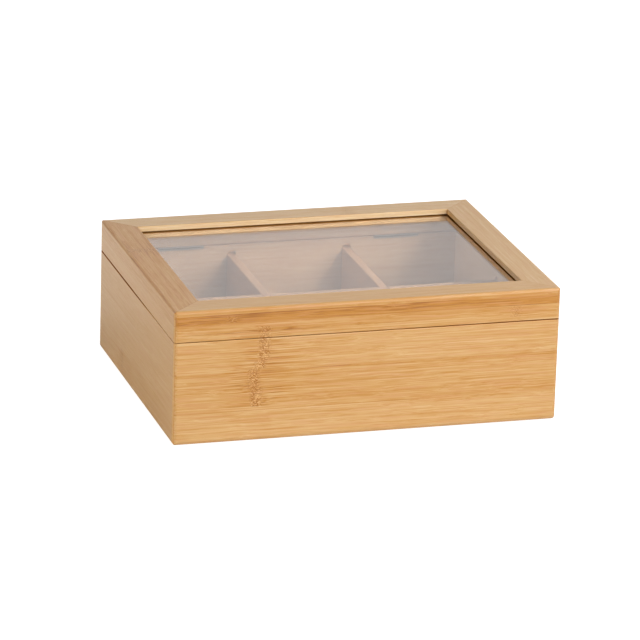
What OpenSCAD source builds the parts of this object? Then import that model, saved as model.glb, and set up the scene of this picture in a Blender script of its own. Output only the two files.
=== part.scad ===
// Tea bag organizer box: a mitred bamboo box with six compartments and a hinged lid that
// frames a clear pane. Origin: the middle of the underside, +Z up, the front faces -Y.

/* [Body] */
// Outside width, side to side
box_w = 220; // [170:1:300]
// Outside depth, front to back
box_d = 170; // [130:1:240]
// Height of the body's four walls
body_h = 59; // [45:0.5:90]
// Thickness of the walls and of the lid's skirt
wall_t = 9; // [8:0.5:12]
// Rounding of the four upright corners
corner_r = 2.5; // [0.5:0.1:3]
// Rounding of the lowest outside edge
foot_r = 3; // [0.5:0.1:3]
// Easing of the edges that a hand meets along the slit between body and lid
edge_r = 0.5; // [0.2:0.1:0.8]

/* [Bottom panel] */
// Thickness of the bottom panel, let in flush with the walls' lowest edge
panel_t = 4; // [3:0.5:6]
// Width of the rebate in the walls that holds the panel
rebate_w = 4.5; // [3:0.5:5]

/* [Dividers] */
// Thickness of the three dividers
divider_t = 5; // [3:0.5:6]
// How far the dividers' top edge stays below the walls' top edge
divider_drop = 6; // [4:0.5:15]
// Rounding of the dividers' top edges
divider_r = 0.8; // [0.2:0.1:1.2]
// Depth of the slots in the walls that the divider ends slide into
slot_depth = 3; // [1.5:0.5:4]

/* [Lid] */
// Open slit between the body and the closed lid
lid_gap = 0.3; // [0.2:0.05:0.8]
// Height of the lid's skirt, below the top frame
skirt_h = 9.2; // [9:0.1:20]
// Thickness of the top frame's rails
rail_t = 8.5; // [8:0.1:12]
// Width of the top frame's rails, seen from above
rail_w = 17.5; // [15:0.5:30]
// Rounding of the rails' upper outside edge
rail_r = 1.6; // [0.5:0.1:2]

/* [Window] */
// Thickness of the clear pane
pane_t = 2; // [1.5:0.1:2.5]
// How far the pane's upper face lies below the top of the frame
pane_sink = 3.7; // [3.5:0.1:5]
// Slack of the groove above the pane
pane_slack = 0.7; // [0.2:0.1:1]
// How far the pane reaches into the rails
pane_bite = 4; // [3:0.5:5]

/* [Hinges] */
// Length of a hinge, along its pin
hinge_l = 27; // [22:1:36]
// From the side of the box to the near end of the hinge
hinge_inset = 32; // [20:1:36]
// Thickness of the hinge leaves
leaf_t = 0.9; // [0.7:0.1:1.1]
// Gap between the two leaves when the lid is shut
leaf_gap = 0.4; // [0.2:0.05:0.5]
// Diameter of the hinge pin
pin_d = 1.8; // [1.6:0.1:2.4]
// How far the pin's axis lies behind the back of the box
pin_out = 2.5; // [2.4:0.1:3.5]
// Angle at which the hinges stop the lid
open_angle = 100; // [90:1:110]

/* [Hinge screws] */
// Diameter of a screw's shank
screw_d = 2; // [1.6:0.1:2.2]
// Diameter of a screw's countersunk head
screw_head_d = 3.8; // [3.2:0.1:4.2]
// Length of a screw with its head
screw_l = 8; // [6:0.5:9]
// From each end of a leaf to the middle of its nearer screw
screw_inset = 5; // [3:0.5:7]

/* [Clearances] */
// Slack of each wooden joint, per side
wood_fit = 0.1; // [0.05:0.01:0.2]
// Play of the pane's edges in their grooves
pane_play = 0.5; // [0.2:0.1:1]
// Radial clearance between a pin and the knuckles round it
pin_fit = 0.05; // [0.02:0.01:0.08]
// Gap between a knuckle and what turns past it
knuckle_gap = 0.15; // [0.1:0.01:0.2]

/* [Hidden] */
$fn = 48;

// How far a cut runs past the surface it opens
over = 1;

// Heights above the surface that the box stands on
lid_z = body_h + lid_gap;
rail_z = lid_z + skirt_h;
divider_h = body_h - divider_drop - panel_t;
divider_top = panel_t + divider_h;

// Insides of the box
inner_w = box_w - 2 * wall_t;
inner_d = box_d - 2 * wall_t;
compartment_w = (inner_w - 2 * divider_t) / 3;
cross_x = (compartment_w + divider_t) / 2;

// Slots for the divider ends, run upwards by a cutter as wide as the slot from within the
// rebate of the bottom panel
slot_w = divider_t + 2 * wood_fit;
slot_low = panel_t / 2;
divider_end = slot_depth - wood_fit;
lap_z = panel_t + divider_h / 2;

// Groove for the pane, measured up from the underside of a rail
window_w = box_w - 2 * rail_w;
window_d = box_d - 2 * rail_w;
groove_low = rail_t - pane_sink - pane_t;
groove_h = pane_t + pane_slack;
groove_depth = pane_bite + pane_play;

// Hinges
hinge_x = box_w / 2 - hinge_inset - hinge_l / 2;
folded_t = 2 * leaf_t + leaf_gap;
pin_z = lid_z - folded_t / 2;
pin_y = box_d / 2 + pin_out;
pin_r = pin_d / 2;
barrel_r = pin_r + leaf_t;
leaf_reach = pin_out + wall_t;
knuckle_l = hinge_l / 3;
pin_head_r = pin_r + leaf_t / 2;
pin_head_t = 0.4;
lip_ease = 0.1;

// Screws
screw_x = hinge_l / 2 - screw_inset;
screw_y = pin_out + wall_t / 2;
screw_head_h = (screw_head_d - screw_d) / 2;
screw_tip_h = screw_d;
screw_point_r = screw_d / 10;
screw_cross_w = 0.6;
screw_cross_l = 2.2;
screw_cross_depth = 0.7;

bamboo = [0.86, 0.68, 0.44];
bamboo_dark = [0.80, 0.58, 0.34];
bamboo_pale = [0.88, 0.74, 0.54];
plated_steel = [0.70, 0.71, 0.71];
steel_dark = [0.55, 0.56, 0.57];
clear_acrylic = [0.85, 0.90, 0.92, 0.35];

// What lies outside a round of radius r in the corner of a sheet at the origin
module corner_cut(r) {
    difference() {
        translate([-over, -over]) square(r + over);
        translate([r, r]) circle(r);
    }
}

// A rectangle whose four corners are rounded by r = [outside low, inside low, inside top,
// outside top], with its outside edge at x = 0
module eased_rect(w, h, r) {
    difference() {
        square([w, h]);
        if (r[0] > 0) corner_cut(r[0]);
        if (r[1] > 0) translate([w, 0]) mirror([1, 0]) corner_cut(r[1]);
        if (r[2] > 0) translate([w, h]) rotate(180) corner_cut(r[2]);
        if (r[3] > 0) translate([0, h]) mirror([0, 1]) corner_cut(r[3]);
    }
}

// The plan of a bar mitred at both ends, with rounded tips
module bar_plan(l, w) {
    difference() {
        polygon([[-l / 2, 0], [l / 2, 0], [l / 2 - w, w], [w - l / 2, w]]);
        translate([-l / 2, 0]) corner_cut(corner_r);
        translate([l / 2, 0]) mirror([1, 0]) corner_cut(corner_r);
    }
}

// A bar along X with its outside face at y = 0 and the cross-section that is passed to it
module mitred_bar(l, w, h) {
    intersection() {
        rotate([90, 0, 90]) linear_extrude(l, center = true) children();
        linear_extrude(h) bar_plan(l, w);
    }
}

// The four sides of the box, for a bar that mitred_bar makes
module at_front(z = 0) { translate([0, -box_d / 2, z]) children(); }
module at_back(z = 0) { translate([0, box_d / 2, z]) rotate(180) children(); }
module at_left(z = 0) { translate([-box_w / 2, 0, z]) rotate(-90) children(); }
module at_right(z = 0) { translate([box_w / 2, 0, z]) rotate(90) children(); }

// A slot for a divider's end, in a wall made by mitred_bar, with the round top that the
// cutter leaves above the divider
module divider_slot(x) {
    translate([x, wall_t + over, 0])
        rotate([90, 0, 0])
            linear_extrude(slot_depth + over) {
                translate([-slot_w / 2, slot_low]) square([slot_w, divider_top - slot_low]);
                translate([0, divider_top]) circle(slot_w / 2);
            }
}

// One wall of the body, with the rebate that takes the bottom panel
module wall(l) {
    mitred_bar(l, wall_t, body_h)
        difference() {
            eased_rect(wall_t, body_h, [foot_r, 0, edge_r, edge_r]);
            translate([wall_t - rebate_w, -over]) square([rebate_w + over, panel_t + over]);
        }
}

// Front and back walls take the two cross dividers, the side walls the long one
module long_wall() {
    difference() {
        wall(box_w);
        for (side = [-1, 1]) divider_slot(side * cross_x);
    }
}

module side_wall() {
    difference() {
        wall(box_d);
        divider_slot(0);
    }
}

module front_wall() { color(bamboo) at_front() long_wall(); }
module left_wall() { color(bamboo) at_left() side_wall(); }
module right_wall() { color(bamboo) at_right() side_wall(); }

// The back wall is cut away over its full thickness where the folded hinges lie
module back_wall() {
    color(bamboo) difference() {
        at_back() long_wall();
        for (side = [-1, 1]) at_hinge(side) {
            translate([-hinge_l / 2 - wood_fit, -leaf_reach - over, -folded_t / 2])
                cube([hinge_l + 2 * wood_fit, wall_t + 2 * over, folded_t + over]);
            at_body_screws() screw_room();
        }
    }
}

module bottom_panel() {
    room = 2 * (rebate_w - wood_fit);
    color(bamboo_pale)
        translate([-(inner_w + room) / 2, -(inner_d + room) / 2, 0])
            cube([inner_w + room, inner_d + room, panel_t]);
}

// A divider along X that stands on the bottom panel, with its ends in the walls' slots
module divider(inner_l) {
    l = inner_l + 2 * divider_end;
    rotate([90, 0, 90])
        linear_extrude(l, center = true)
            translate([-divider_t / 2, panel_t])
                eased_rect(divider_t, divider_h, [0, 0, divider_r, divider_r]);
}

// Half of a crossing, cut from the lap height up or down
module lap_cut(low, high) {
    translate([-slot_w / 2, -slot_w / 2, low]) cube([slot_w, slot_w, high - low]);
}

module long_divider() {
    color(bamboo_pale) difference() {
        divider(inner_w);
        for (side = [-1, 1]) translate([side * cross_x, 0, 0]) lap_cut(lap_z, body_h);
    }
}

module cross_divider(side) {
    color(bamboo_pale) translate([side * cross_x, 0, 0]) difference() {
        rotate(90) divider(inner_d);
        lap_cut(panel_t - over, lap_z + wood_fit);
    }
}

// The lid's skirt carries on from the body's walls
module skirt(l) {
    mitred_bar(l, wall_t, skirt_h) eased_rect(wall_t, skirt_h, [edge_r, edge_r, 0, 0]);
}

module lid_front_skirt() { color(bamboo) at_front(lid_z) skirt(box_w); }
module lid_left_skirt() { color(bamboo) at_left(lid_z) skirt(box_d); }
module lid_right_skirt() { color(bamboo) at_right(lid_z) skirt(box_d); }

module lid_back_skirt() {
    color(bamboo) difference() {
        at_back(lid_z) skirt(box_w);
        for (side = [-1, 1]) at_hinge(side) at_lid_screws() screw_room();
    }
}

// A rail of the top frame overhangs the skirt inwards, and its groove holds the pane
module rail(l) {
    mitred_bar(l, rail_w, rail_t)
        difference() {
            eased_rect(rail_w, rail_t, [0, edge_r, edge_r, rail_r]);
            translate([rail_w - groove_depth, groove_low]) square([groove_depth + over, groove_h]);
        }
}

module lid_front_rail() { color(bamboo_dark) at_front(rail_z) rail(box_w); }
module lid_back_rail() { color(bamboo) at_back(rail_z) rail(box_w); }
module lid_left_rail() { color(bamboo) at_left(rail_z) rail(box_d); }
module lid_right_rail() { color(bamboo) at_right(rail_z) rail(box_d); }

module window_pane() {
    w = window_w + 2 * pane_bite;
    d = window_d + 2 * pane_bite;
    color(clear_acrylic)
        translate([-w / 2, -d / 2, rail_z + groove_low]) cube([w, d, pane_t]);
}

// A hinge has its own frame: the pin along X, the box towards -Y
module at_hinge(side) { translate([side * hinge_x, pin_y, pin_z]) children(); }

module along_pin(l, r) { rotate([0, 90, 0]) cylinder(h = l, r = r, center = true); }

module leaf_plate(low) {
    translate([-hinge_l / 2, -leaf_reach, low]) cube([hinge_l, leaf_reach, leaf_t]);
}

// Room in a leaf for the other leaf's knuckle, l long
module knuckle_room(x, l) {
    depth = barrel_r + knuckle_gap;
    translate([x - l / 2, -depth, -barrel_r]) cube([l, depth + over, 2 * barrel_r]);
}

module at_body_screws() {
    for (x = [-1, 1])
        translate([x * screw_x, -screw_y, -leaf_gap / 2]) children();
}

module at_lid_screws() {
    for (x = [-1, 1])
        translate([x * screw_x, -screw_y, leaf_gap / 2]) mirror([0, 0, 1]) children();
}

// A countersunk wood screw with its head at the origin, pointing down, grown by room
module screw_body(room) {
    translate([0, 0, -screw_head_h])
        cylinder(h = screw_head_h, r1 = screw_d / 2 + room, r2 = screw_head_d / 2 + room);
    translate([0, 0, -screw_l + screw_tip_h])
        cylinder(h = screw_l - screw_tip_h - screw_head_h / 2, r = screw_d / 2 + room);
    translate([0, 0, -screw_l - room])
        cylinder(h = screw_tip_h + room, r1 = screw_point_r, r2 = screw_d / 2 + room);
}

module screw_room() { screw_body(pin_fit); }

module screw() {
    difference() {
        screw_body(0);
        for (turn = [0, 90]) rotate(turn)
            translate([-screw_cross_l / 2, -screw_cross_w / 2, -screw_cross_depth])
                cube([screw_cross_l, screw_cross_w, screw_cross_depth + over]);
    }
}

// The cross-section of a knuckle, with +X towards the back of the box and +Y up
module knuckle_section() { circle(barrel_r); }

// An outer knuckle has a lip that stands up behind it, and the lid's leaf leans on that lip
// when the lid is open as far as it goes. The lip is drawn as the open lid's leaf meets it,
// then turned back, and its back stays a little inside the knuckle's round.
module stop_knuckle_section() {
    reach = pin_out - knuckle_gap;
    face = leaf_gap / 2 + leaf_t + pin_fit;
    back = barrel_r - lip_ease;
    knuckle_section();
    rotate(-open_angle) translate([-reach, face]) square([reach, back - face]);
}

module knuckle(x, l) {
    translate([x, 0, 0]) rotate([90, 0, 90]) linear_extrude(l, center = true) children();
}

module body_leaf(side) {
    outer_l = knuckle_l - knuckle_gap / 2;
    outer_x = (hinge_l - outer_l) / 2;
    color(plated_steel) at_hinge(side) difference() {
        union() {
            difference() {
                leaf_plate(-leaf_gap / 2 - leaf_t);
                knuckle_room(0, knuckle_l + knuckle_gap);
            }
            for (x = [-outer_x, outer_x]) knuckle(x, outer_l) stop_knuckle_section();
        }
        along_pin(hinge_l + over, pin_r + pin_fit);
        at_body_screws() screw_room();
    }
}

module lid_leaf(side) {
    room_l = knuckle_l + over;
    room_x = (knuckle_l - knuckle_gap + room_l) / 2;
    color(plated_steel) at_hinge(side) difference() {
        union() {
            difference() {
                leaf_plate(leaf_gap / 2);
                for (x = [-room_x, room_x]) knuckle_room(x, room_l);
            }
            knuckle(0, knuckle_l - knuckle_gap) knuckle_section();
        }
        along_pin(hinge_l + over, pin_r + pin_fit);
        at_lid_screws() screw_room();
    }
}

module hinge_pin(side) {
    color(steel_dark) at_hinge(side) {
        along_pin(hinge_l, pin_r);
        for (x = [-1, 1]) translate([x * (hinge_l + pin_head_t) / 2, 0, 0])
            along_pin(pin_head_t, pin_head_r);
    }
}

module left_hinge_body_leaf() { body_leaf(-1); }
module right_hinge_body_leaf() { body_leaf(1); }
module left_hinge_lid_leaf() { lid_leaf(-1); }
module right_hinge_lid_leaf() { lid_leaf(1); }
module left_hinge_pin() { hinge_pin(-1); }
module right_hinge_pin() { hinge_pin(1); }
module left_cross_divider() { cross_divider(-1); }
module right_cross_divider() { cross_divider(1); }

module body_hinge_screws() {
    color(steel_dark) for (side = [-1, 1]) at_hinge(side) at_body_screws() screw();
}

module lid_hinge_screws() {
    color(steel_dark) for (side = [-1, 1]) at_hinge(side) at_lid_screws() screw();
}

front_wall();
back_wall();
left_wall();
right_wall();
bottom_panel();
long_divider();
left_cross_divider();
right_cross_divider();
left_hinge_body_leaf();
right_hinge_body_leaf();
left_hinge_pin();
right_hinge_pin();
body_hinge_screws();
lid_front_skirt();
lid_back_skirt();
lid_left_skirt();
lid_right_skirt();
lid_front_rail();
lid_back_rail();
lid_left_rail();
lid_right_rail();
window_pane();
left_hinge_lid_leaf();
right_hinge_lid_leaf();
lid_hinge_screws();
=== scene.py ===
# %% [markdown]
# # A bamboo organizer box with a hinged window lid
# The box is already built as exact parts, each in its own node. This lesson dresses them: it
# sets up a camera and a small studio, writes a bamboo material that grows through the solid
# wood, makes the clear pane, and models the small metal parts that a plain solid can't show.
# Lengths are in metres, and `MM` turns the millimetres of a drawing into metres.

# %% Load the frame
import math

import bmesh
import bpy
from mathutils import Matrix, Vector


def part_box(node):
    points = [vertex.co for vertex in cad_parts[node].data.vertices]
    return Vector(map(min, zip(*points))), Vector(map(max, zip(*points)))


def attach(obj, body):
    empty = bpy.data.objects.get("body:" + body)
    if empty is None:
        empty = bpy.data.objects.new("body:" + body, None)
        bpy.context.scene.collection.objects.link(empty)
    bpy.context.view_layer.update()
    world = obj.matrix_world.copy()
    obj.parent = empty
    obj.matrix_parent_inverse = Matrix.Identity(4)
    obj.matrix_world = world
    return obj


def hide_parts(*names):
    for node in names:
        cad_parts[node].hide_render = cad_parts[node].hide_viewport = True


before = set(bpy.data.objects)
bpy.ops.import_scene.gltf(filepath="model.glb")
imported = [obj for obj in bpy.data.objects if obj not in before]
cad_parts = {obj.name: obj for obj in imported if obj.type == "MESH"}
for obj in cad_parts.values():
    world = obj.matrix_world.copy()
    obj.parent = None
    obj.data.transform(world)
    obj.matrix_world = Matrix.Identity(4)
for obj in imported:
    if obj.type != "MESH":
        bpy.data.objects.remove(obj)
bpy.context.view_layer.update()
MM = 0.001

# %% [markdown]
# ## Colours and nodes
# A colour picker gives sRGB, but light adds up in linear values, so one function turns a hex
# colour into the linear one that a shader wants. A material is a graph of nodes, and most
# of its code is the same three things: make a node, set it, plug it in. One small function
# does all three, so that the rest of the lesson reads as a list of nodes.

# %% Helpers for colours and nodes
def linear(hex_colour):
    """The linear RGBA of an sRGB colour such as #CC9966."""
    shares = [int(hex_colour[i:i + 2], 16) / 255 for i in (1, 3, 5)]
    return [s / 12.92 if s <= 0.04045 else ((s + 0.055) / 1.055) ** 2.4 for s in shares] + [1]


def add_node(tree, kind, inputs=None, **settings):
    """Adds a node. An input is a value, another node's socket, or a node for its first output."""
    node = tree.nodes.new("ShaderNode" + kind)
    for name, value in settings.items():
        setattr(node, name, value)
    for socket, value in (inputs or {}).items():
        if isinstance(value, bpy.types.Node):
            value = value.outputs[0]
        if isinstance(value, bpy.types.NodeSocket):
            tree.links.new(value, node.inputs[socket])
        else:
            node.inputs[socket].default_value = value
    return node


def new_material(name):
    """An empty material and the node tree that it is drawn in."""
    material = bpy.data.materials.new(name)
    material.use_nodes = True
    material.node_tree.nodes.clear()
    return material, material.node_tree


print("a mid bamboo tone is", [round(c, 3) for c in linear("#CB9C63")])

# %% [markdown]
# ## The camera
# The camera stands where a long lens would: about two and a half metres away, 17 degrees to
# the left of the middle and nearly 19 degrees up, so the box shows its front, its left side
# and its lid. A long lens keeps parallel edges nearly parallel. The place is worked out on a
# sphere round a point in the box, and the last turn, about the line of sight, is the small
# tilt of a camera held by hand.

# %% Camera
CAMERA_AZIMUTH = math.radians(-16.716)
CAMERA_ELEVATION = math.radians(18.602)
CAMERA_TILT = math.radians(1.787)
CAMERA_DISTANCE = 2562.17 * MM
AIM = Vector((0, 0, 38 * MM))
AIM_SIDEWAYS = -2.777 * MM
AIM_UPWARDS = -0.559 * MM
SENSOR_MM = 36
LENS_MM = 255.418
CLIP_END = 50

back = Vector((
    math.sin(CAMERA_AZIMUTH) * math.cos(CAMERA_ELEVATION),
    -math.cos(CAMERA_AZIMUTH) * math.cos(CAMERA_ELEVATION),
    math.sin(CAMERA_ELEVATION),
))
level = Vector((math.cos(CAMERA_AZIMUTH), math.sin(CAMERA_AZIMUTH), 0))
upright = back.cross(level)
right = level * math.cos(CAMERA_TILT) + upright * math.sin(CAMERA_TILT)
above = upright * math.cos(CAMERA_TILT) - level * math.sin(CAMERA_TILT)

camera = bpy.data.objects.new("camera", bpy.data.cameras.new("camera"))
bpy.context.scene.collection.objects.link(camera)
place = AIM + right * AIM_SIDEWAYS + above * AIM_UPWARDS + back * CAMERA_DISTANCE
turn = Matrix((right, above, back)).transposed()
camera.matrix_world = Matrix.Translation(place) @ turn.to_4x4()
camera.data.sensor_width = SENSOR_MM
camera.data.lens = LENS_MM
camera.data.clip_end = CLIP_END
bpy.context.scene.camera = camera
print("camera at", [round(x, 3) for x in place], "m")

# %% [markdown]
# ## The table
# The box stands on a white light table: a floor that shines a little by itself, so no hard
# shadow forms and the ground reads as white. It glows by different amounts for what the
# camera sees, for what the lacquer mirrors and for the light that it throws on the wood.
# Close to the box the table mirrors darker, because the box shades it there.

# %% Floor
FLOOR_RADIUS, FLOOR_SIDES, FLOOR_DROP_MM = 12, 96, 0.2
FLOOR_GREY, FLOOR_ROUGHNESS = "#C8C8C8", 0.6
FLOOR_SEEN = 0.85
FLOOR_LIGHT = 0.3
MIRROR_NEAR, MIRROR_FAR = 0.11, 0.33
FLOOR_MIRRORED_NEAR, FLOOR_MIRRORED_FAR = 0.07, 0.66

bpy.ops.object.select_all(action="DESELECT")
bpy.ops.mesh.primitive_circle_add(
    vertices=FLOOR_SIDES, radius=FLOOR_RADIUS, fill_type="NGON",
    location=(0, 0, -FLOOR_DROP_MM * MM))
floor = bpy.context.object
floor.name = "floor"
floor_paint, tree = new_material("white_light_table")
path = add_node(tree, "LightPath")
spot = add_node(tree, "TexCoord")
away = add_node(tree, "VectorMath", {0: spot.outputs["Object"]}, operation="LENGTH")
mirrored = add_node(tree, "MapRange", {
    "Value": away.outputs["Value"], "From Min": MIRROR_NEAR, "From Max": MIRROR_FAR,
    "To Min": FLOOR_MIRRORED_NEAR, "To Max": FLOOR_MIRRORED_FAR})
glow = add_node(tree, "MapRange", {
    "Value": path.outputs["Is Glossy Ray"], "To Min": FLOOR_LIGHT, "To Max": mirrored})
glow = add_node(tree, "MapRange", {
    "Value": path.outputs["Is Camera Ray"], "To Min": glow, "To Max": FLOOR_SEEN})
surface = add_node(tree, "BsdfPrincipled", {
    "Base Color": linear(FLOOR_GREY), "Roughness": FLOOR_ROUGHNESS,
    "Emission Color": linear("#FFFFFF"), "Emission Strength": glow})
add_node(tree, "OutputMaterial", {"Surface": surface})
floor.data.materials.append(floor_paint)
print("a light table of", 2 * FLOOR_RADIUS, "m,", FLOOR_DROP_MM, "mm under the box")

# %% [markdown]
# ## The room and the lamps
# The room all round is white where it is seen or mirrored, and dimmer where it only lights
# the wood, as in a studio whose bright backdrop stands far behind the object. Three
# softboxes light the box. The large one in front makes the front the brightest side, the
# small one from the right and above throws the shadows inside the box, and the one on the
# left fills the side that the camera sees at a slant. A lamp would also show as a bright
# square through the pane, so the lamps are hidden from rays that pass through it.

# %% Room and softboxes
ROOM_SEEN = 1.0
ROOM_MIRRORED = 0.95
ROOM_LIGHT = 0.12
SOFT_BOXES = [  # name, place in m, side in m, watts
    ("front_softbox", (0.7, -1.95, 0.75), 1.2, 21.9),
    ("right_softbox", (0.57, -0.45, 0.884), 0.22, 6.4),
    ("left_softbox", (-1.15, -0.42, 0.5), 0.6, 6.4),
]

room = bpy.data.worlds.new("white_room")
room.use_nodes = True
room.node_tree.nodes.clear()
room.cycles.sampling_method = "NONE"
tree = room.node_tree
path = add_node(tree, "LightPath")
strength = add_node(tree, "MapRange", {
    "Value": path.outputs["Is Glossy Ray"], "To Min": ROOM_LIGHT, "To Max": ROOM_MIRRORED})
strength = add_node(tree, "MapRange", {
    "Value": path.outputs["Is Camera Ray"], "To Min": strength, "To Max": ROOM_SEEN})
light = add_node(tree, "Background", {"Color": linear("#FFFFFF"), "Strength": strength})
add_node(tree, "OutputWorld", {"Surface": light})
bpy.context.scene.world = room
bpy.context.scene.view_settings.view_transform = "Standard"

for name, place, size, watts in SOFT_BOXES:
    lamp = bpy.data.lights.new(name, "AREA")
    lamp.size = size
    lamp.energy = watts
    light = bpy.data.objects.new(name, lamp)
    bpy.context.scene.collection.objects.link(light)
    light.location = place
    light.rotation_euler = (Vector(place) - AIM).to_track_quat("Z", "Y").to_euler()
    light.visible_transmission = False

# %% [markdown]
# ## Bamboo
# Bamboo boards are glued up from strips split out of the cane's wall. Each strip runs the
# whole length of a board and has its own tone. Its fibres are straight, fine and a little
# darker than the flesh round them, and wherever the cane had a ring, a band a few
# millimetres wide is stippled with short, twisted fibres. The boards are sanded and get a
# satin lacquer outside, which gives the eye a soft and even gloss over the grain.
#
# Because every piece keeps its place in its mesh, a pattern drawn in Object coordinates runs
# through the solid wood: it carries on round an edge and over the saw cut between lid and
# body, as on the real box, which was glued up whole and then sawn open.
#
# The graph works in millimetres along the grain, across it and upwards. It first finds
# where on the box a point lies: near a mitre, on the saw cut, inside, in a ring, in which
# strip. Then it adds everything up to one tone from dark to pale, and a colour ramp paints
# that tone.

# %% Where the wood's marks lie
HALF = Vector((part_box("right_wall")[1].x, -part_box("front_wall")[0].y, 0))
MITRE = HALF.x - HALF.y
SLIT_MM = (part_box("front_wall")[1].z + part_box("lid_front_skirt")[0].z) / 2 / MM
RAIL_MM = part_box("lid_front_rail")[0].z / MM
PANE_LOW, PANE_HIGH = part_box("window_pane")
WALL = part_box("lid_front_skirt")[1].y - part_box("lid_front_skirt")[0].y


def between(tree, value, low, high):
    """1 where a value lies between two limits and 0 elsewhere."""
    above_low = add_node(tree, "Math", {0: value, 1: low}, operation="GREATER_THAN")
    below_high = add_node(tree, "Math", {0: value, 1: high}, operation="LESS_THAN")
    return add_node(tree, "Math", {0: above_low, 1: below_high}, operation="MULTIPLY")


def distance(tree, value, middle):
    """How far a value lies from a middle, on either side of it."""
    off = add_node(tree, "Math", {0: value, 1: middle}, operation="SUBTRACT")
    return add_node(tree, "Math", {0: off}, operation="ABSOLUTE")


print("walls", round(WALL / MM, 2), "mm thick, saw cut at", round(SLIT_MM, 2), "mm")

# %% [markdown]
# ### Mitres and the saw cut
# The boards' ends meet at 45 degrees, and each of these joints shows as a thin dark glue
# line. All four mitres lie where the distances from the middle of the box, along X and
# along Y, differ by the same amount, so one test finds them all, in the walls and the lid.
#
# Along the saw cut that parted the lid from the body, the rim's two edges are painted darker, a
# millimetre or two deep: painted shade of the gap between lid and body, which grows darker and
# wider along the grain, where the gap opens wider.

# %% Glue lines and the painted shade of the saw cut
MITRE_LINE_MM = (0.4, 0.15)
CUT_SHADE_MM = (0.45, 0.2)
RIM_MM = (2, 1)


def mitre_lines(tree, flat):
    """1 on the glue lines of the mitres. The distances from the middle are in m."""
    off = add_node(tree, "Math", {0: flat.outputs[0], 1: flat.outputs[1]}, operation="SUBTRACT")
    off = distance(tree, off, MITRE)
    return add_node(tree, "MapRange", {
        "Value": off, "From Min": MITRE_LINE_MM[0] * MM, "From Max": MITRE_LINE_MM[1] * MM})


def painted_cut_shade(tree, along, up, flat, start_mm, full_mm, wider_mm):
    """Up to 1 on the saw cut's edges, where the gap's shade is painted; it fades in and widens
    along the grain.
    """
    grown = add_node(tree, "MapRange", {"Value": along, "From Min": start_mm, "From Max": full_mm})
    off = distance(tree, up, SLIT_MM)
    off = add_node(tree, "Math", {0: grown, 1: -wider_mm, 2: off}, operation="MULTIPLY_ADD")
    sawn = add_node(tree, "MapRange", {
        "Value": off, "From Min": CUT_SHADE_MM[0], "From Max": CUT_SHADE_MM[1]})
    sawn = add_node(tree, "Math", {0: sawn, 1: grown}, operation="MULTIPLY")
    deep = [add_node(tree, "Math", {0: HALF[i], 1: flat.outputs[i]}, operation="SUBTRACT")
            for i in (0, 1)]
    deep = add_node(tree, "Math", {0: deep[0], 1: deep[1]}, operation="MINIMUM")
    deep = distance(tree, deep, WALL / 2)
    rim = add_node(tree, "MapRange", {
        "Value": deep, "From Min": WALL / 2 - RIM_MM[0] * MM,
        "From Max": WALL / 2 - RIM_MM[1] * MM})
    return add_node(tree, "Math", {0: sawn, 1: rim}, operation="MULTIPLY")


print("mitre lines", 2 * MITRE_LINE_MM[0], "mm wide, burn", RIM_MM[0], "mm deep")

# %% [markdown]
# ### Bare wood
# The inside of the box is sanded but not lacquered, so it is greyer and duller there. The groove
# that holds the pane is painted dark, as painted shade in that narrow recess. Both are plain blocks
# of space round the middle of the box.

# %% Inside and groove
BLOCKS = [  # how far along X and Y in m, from and to which height in mm
    (HALF - Vector((WALL, WALL, 0)), -1, RAIL_MM - 0.1),
    (PANE_HIGH + Vector((MM, MM, 0)), PANE_LOW.z / MM - 0.1, PANE_HIGH.z / MM + 0.75),
]
BLOCK_MARGIN = 0.5 * MM


def bare_places(tree, up, flat):
    """Two nodes: 1 inside the box, and 1 in the groove that holds the pane."""
    places = []
    for reach, low_mm, high_mm in BLOCKS:
        here = between(tree, up, low_mm, high_mm)
        for i in (0, 1):
            near = between(tree, flat.outputs[i], -MM, reach[i] + BLOCK_MARGIN)
            here = add_node(tree, "Math", {0: here, 1: near}, operation="MULTIPLY")
        places.append(here)
    return places


print("bare up to", round(BLOCKS[0][2], 1), "mm, groove up to", round(BLOCKS[1][2], 1), "mm")

# %% [markdown]
# ### Rings
# A ring is a soft window along the grain, cut off at two heights where its stretch ends. The
# narrow window is filled with stipple. A wide one round it darkens the wood a little and
# makes its lines stronger, because the fibres thicken on their way to the ring.

# %% Ring windows
RING_HALF_MM = 4.4
RING_SHADE_MM = 24
RING_EDGE, RING_CORE = 1.1, 0.2


def ring_windows(tree, along, up, rings):
    """Where the rings are stippled and where they are shaded, or 0 if there are none."""
    windows = [0, 0]
    for ring_mm, low_mm, high_mm, strength in rings:
        away = distance(tree, along, ring_mm)
        here = between(tree, up, low_mm, high_mm)
        for i, width_mm in enumerate((RING_HALF_MM, RING_SHADE_MM)):
            window = add_node(tree, "MapRange", {
                "Value": away, "From Min": RING_EDGE * width_mm, "From Max": RING_CORE * width_mm,
                "To Max": strength}, interpolation_type="SMOOTHSTEP")
            window = add_node(tree, "Math", {0: window, 1: here}, operation="MULTIPLY")
            windows[i] = add_node(tree, "Math", {0: window, 1: windows[i]}, operation="MAXIMUM")
    return windows


print("rings", 2 * RING_HALF_MM, "mm wide, shaded over", 2 * RING_SHADE_MM, "mm")

# %% [markdown]
# ### Strips
# The height over a joint, divided by the strip's width, counts the strips. White noise on
# that count gives each strip a random tone, and a thin line runs along each joint.

# %% Strips and joints
GLUE_LINE_MM = 0.3
GLUE_CORE = 0.3


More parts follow.
